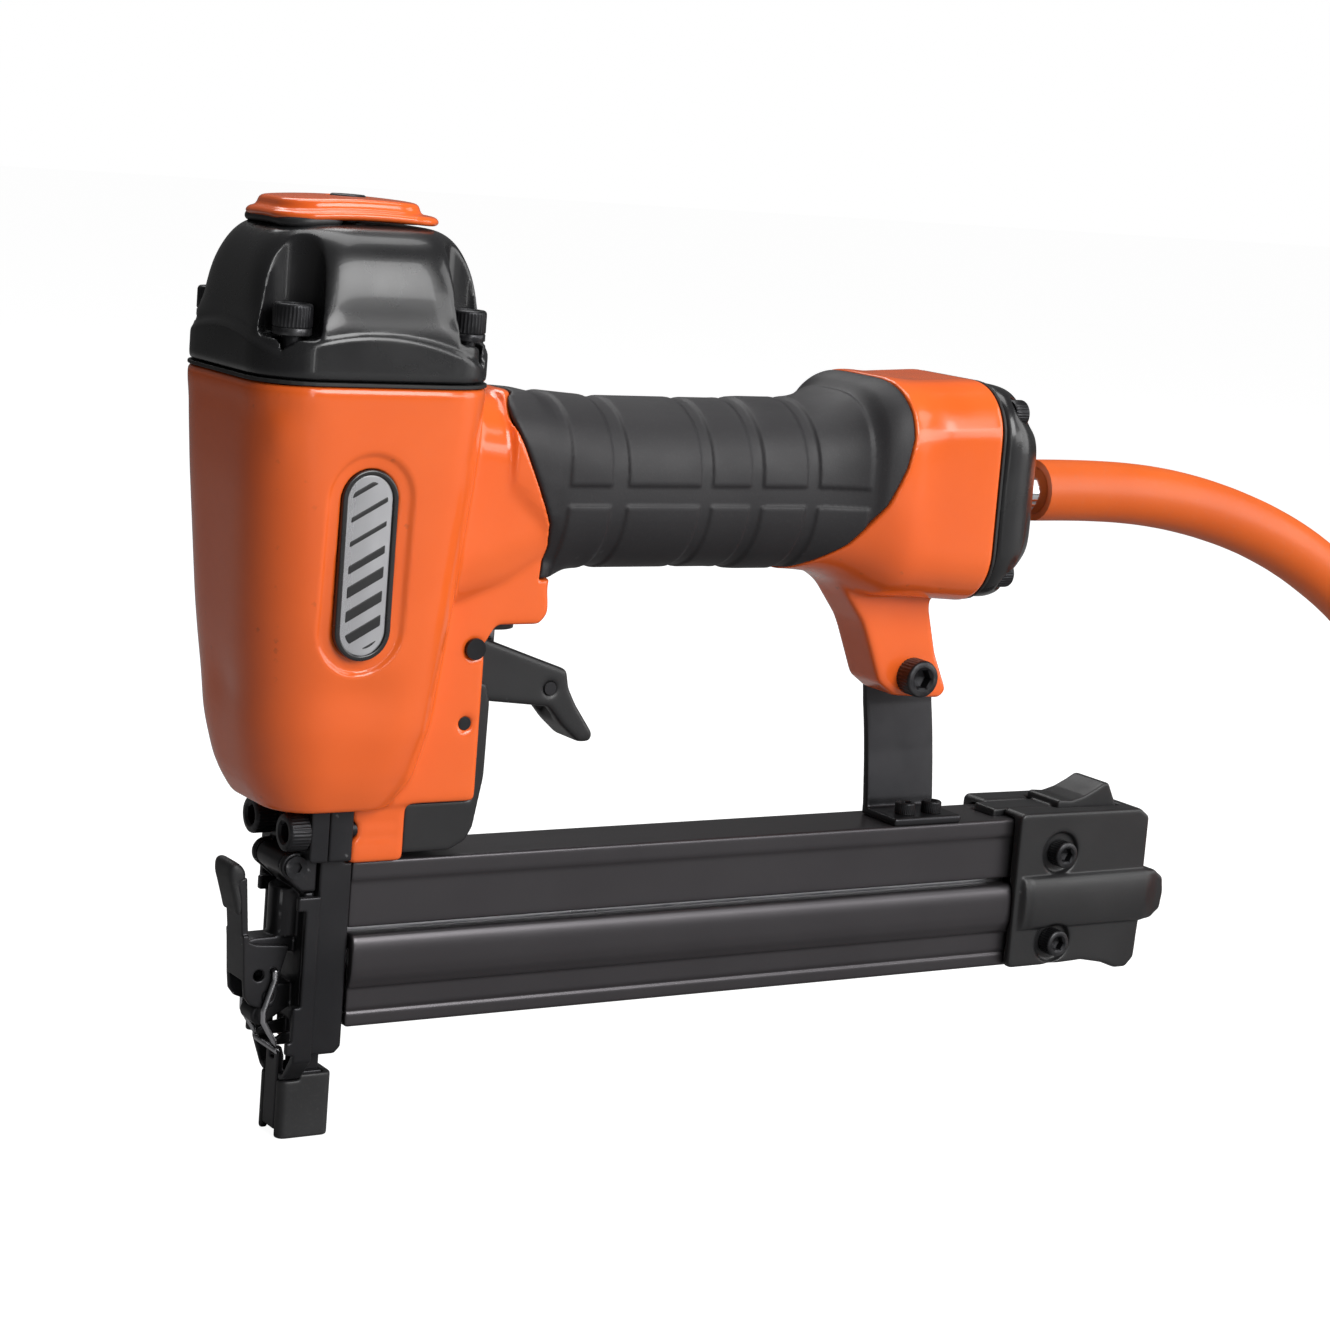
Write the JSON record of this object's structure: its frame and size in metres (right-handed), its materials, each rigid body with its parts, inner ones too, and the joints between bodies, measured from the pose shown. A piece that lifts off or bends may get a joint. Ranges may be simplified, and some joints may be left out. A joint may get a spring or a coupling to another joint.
{
  "type": "pneumatic nail gun",
  "caption": "Light pneumatic nail gun for short brads, with a cast body, rubber handle, side-loading magazine, quick-clear nose door, sprung contact arm and a leader hose.",
  "frame": {"origin": "on the drive axis at the foot of the nose pad, where the brad leaves", "axes": "+Z along the drive axis towards the cap, +X from the nose to the hose, +Y to the far side"},
  "size_m": [0.5497, 0.1727, 0.2108],
  "materials": {
    "orange_paint": "gloss enamel on cast aluminium",
    "black_paint": "semi-gloss black enamel on cast aluminium",
    "grip_rubber": "soft matt moulded rubber",
    "black_rubber": "matt moulded rubber",
    "seal_rubber": "smooth nitrile",
    "black_plastic": "fine grained moulding",
    "black_oxide": "black oxide, slightly oily",
    "dark_steel": "phosphated steel",
    "gunmetal": "dark anodised extrusion",
    "bright_steel": "ground steel",
    "spring_steel": "drawn wire",
    "silver": "satin aluminium",
    "chrome": "bright plated",
    "brass": "turned",
    "valve_plastic": "acetal",
    "hose_orange": "smooth flexible hose cover"
  },
  "bodies": {
    "root": {"body_housing": "orange_paint", "cylinder_cap": "black_paint", "cap_gasket": "seal_rubber", "cap_screws": "black_oxide", "cap_washers": "dark_steel", "deflector_screw": "black_oxide", "badge_plates": "silver", "rubber_grip": "grip_rubber", "end_cap": "black_paint", "end_cap_gasket": "seal_rubber", "end_cap_screws": "black_oxide", "air_fitting": "chrome", "cylinder_sleeve": "silver", "sleeve_o_rings": "seal_rubber", "bumper": "black_rubber", "head_valve_spring": "spring_steel", "trigger_pin": "black_oxide", "trigger_valve_body": "black_plastic", "trigger_valve_spring": "spring_steel", "guide_base": "dark_steel", "front_plate": "dark_steel", "nose_screws": "black_oxide", "door_hinge_pin": "black_oxide", "safety_spring": "spring_steel", "safety_guide_cover": "black_plastic", "guide_cover_pin": "dark_steel", "fixed_magazine": "gunmetal", "magazine_core": "silver", "support_bracket": "dark_steel", "bracket_screw": "black_oxide", "bracket_foot_screws": "black_oxide", "air_hose": "hose_orange", "hose_coil": "hose_orange", "hose_connector": "brass"},
    "deflector": {"exhaust_deflector": "orange_paint"},
    "piston": {"drive_piston": "silver", "piston_o_ring": "seal_rubber", "driver_blade": "bright_steel"},
    "head_valve": {"head_valve_piston": "valve_plastic", "head_valve_o_ring": "seal_rubber"},
    "trigger": {"trigger": "black_plastic", "idler_pin": "dark_steel"},
    "idler": {"idler_lever": "bright_steel"},
    "valve_stem": {"trigger_valve_stem": "bright_steel"},
    "contact": {"contact_arm": "dark_steel", "no_mar_pad": "black_rubber"},
    "door": {"guide_door": "dark_steel", "latch_pin": "dark_steel"},
    "latch": {"latch_lever": "dark_steel", "latch_grip": "black_rubber"},
    "bail": {"wire_bail": "bright_steel"},
    "magazine": {"movable_magazine": "gunmetal", "tail_cap": "black_plastic", "tail_cap_screws": "black_oxide", "latch_button_pin": "dark_steel", "latch_button_spring": "spring_steel", "pusher_rod": "bright_steel", "pusher_spring": "spring_steel"},
    "button": {"latch_button": "black_plastic"},
    "pusher": {"pusher": "bright_steel"}
  },
  "joints": [
    {"name": "deflector_turn", "type": "hinge", "parent": "root", "child": "deflector", "pos_m": [0, 0, 0.2055], "axis": [0, 0, 1], "continuous": true},
    {"name": "piston_stroke", "type": "slide", "parent": "root", "child": "piston", "axis": [0, 0, -1], "range_m": [0, 0.054]},
    {"name": "head_valve_lift", "type": "slide", "parent": "root", "child": "head_valve", "axis": [0, 0, 1], "range_m": [0, 0.003], "stiffness_N_per_m": 300, "springref_m": -0.004, "deforming": ["head_valve_spring"]},
    {"name": "trigger_pull", "type": "hinge", "parent": "root", "child": "trigger", "pos_m": [0.032, 0, 0.112], "axis": [0, -1, 0], "range_deg": [0, 12], "stiffness_Nm_per_rad": 0.12, "springref_deg": -17.19},
    {"name": "valve_stem_lift", "type": "slide", "parent": "root", "child": "valve_stem", "axis": [0, 0, 1], "range_m": [0, 0.0022], "deforming": ["trigger_valve_spring"]},
    {"name": "idler_swing", "type": "hinge", "parent": "trigger", "child": "idler", "pos_m": [0.056, 0, 0.101], "axis": [0, 1, 0], "range_deg": [0, 15.8]},
    {"name": "contact_lift", "type": "slide", "parent": "root", "child": "contact", "axis": [0, 0, 1], "range_m": [0, 0.0046], "stiffness_N_per_m": 1000, "springref_m": -0.02, "deforming": ["safety_spring"]},
    {"name": "door_swing", "type": "hinge", "parent": "root", "child": "door", "pos_m": [-0.0066, 0, 0.0634], "axis": [0, 1, 0], "range_deg": [0, 65]},
    {"name": "latch_open", "type": "hinge", "parent": "door", "child": "latch", "pos_m": [-0.0096, 0, 0.0332], "axis": [0, -1, 0], "range_deg": [0, 90]},
    {"name": "bail_swing", "type": "hinge", "parent": "latch", "child": "bail", "pos_m": [-0.0086, 0, 0.039], "axis": [0, 1, 0], "range_deg": [0, 90]},
    {"name": "magazine_slide", "type": "slide", "parent": "root", "child": "magazine", "axis": [1, 0, 0], "range_m": [0, 0.11]},
    {"name": "button_rock", "type": "hinge", "parent": "magazine", "child": "button", "pos_m": [0.217, 0, 0.063], "axis": [0, 1, 0], "range_deg": [0, 6], "stiffness_Nm_per_rad": 0.01, "springref_deg": -17.19, "deforming": ["latch_button_spring"]},
    {"name": "pusher_slide", "type": "slide", "parent": "magazine", "child": "pusher", "axis": [1, 0, 0], "range_m": [0, 0.16], "stiffness_N_per_m": 12, "springref_m": -0.15, "deforming": ["pusher_spring"]}
  ],
  "couplings": [
    {"joint": "valve_stem_lift", "follows": "trigger_pull", "m_per_rad": 0.0105},
    {"joint": "idler_swing", "follows": "contact_lift", "rad_per_m": 59.6},
    {"joint": "bail_swing", "follows": "latch_open", "ratio": 1}
  ]
}
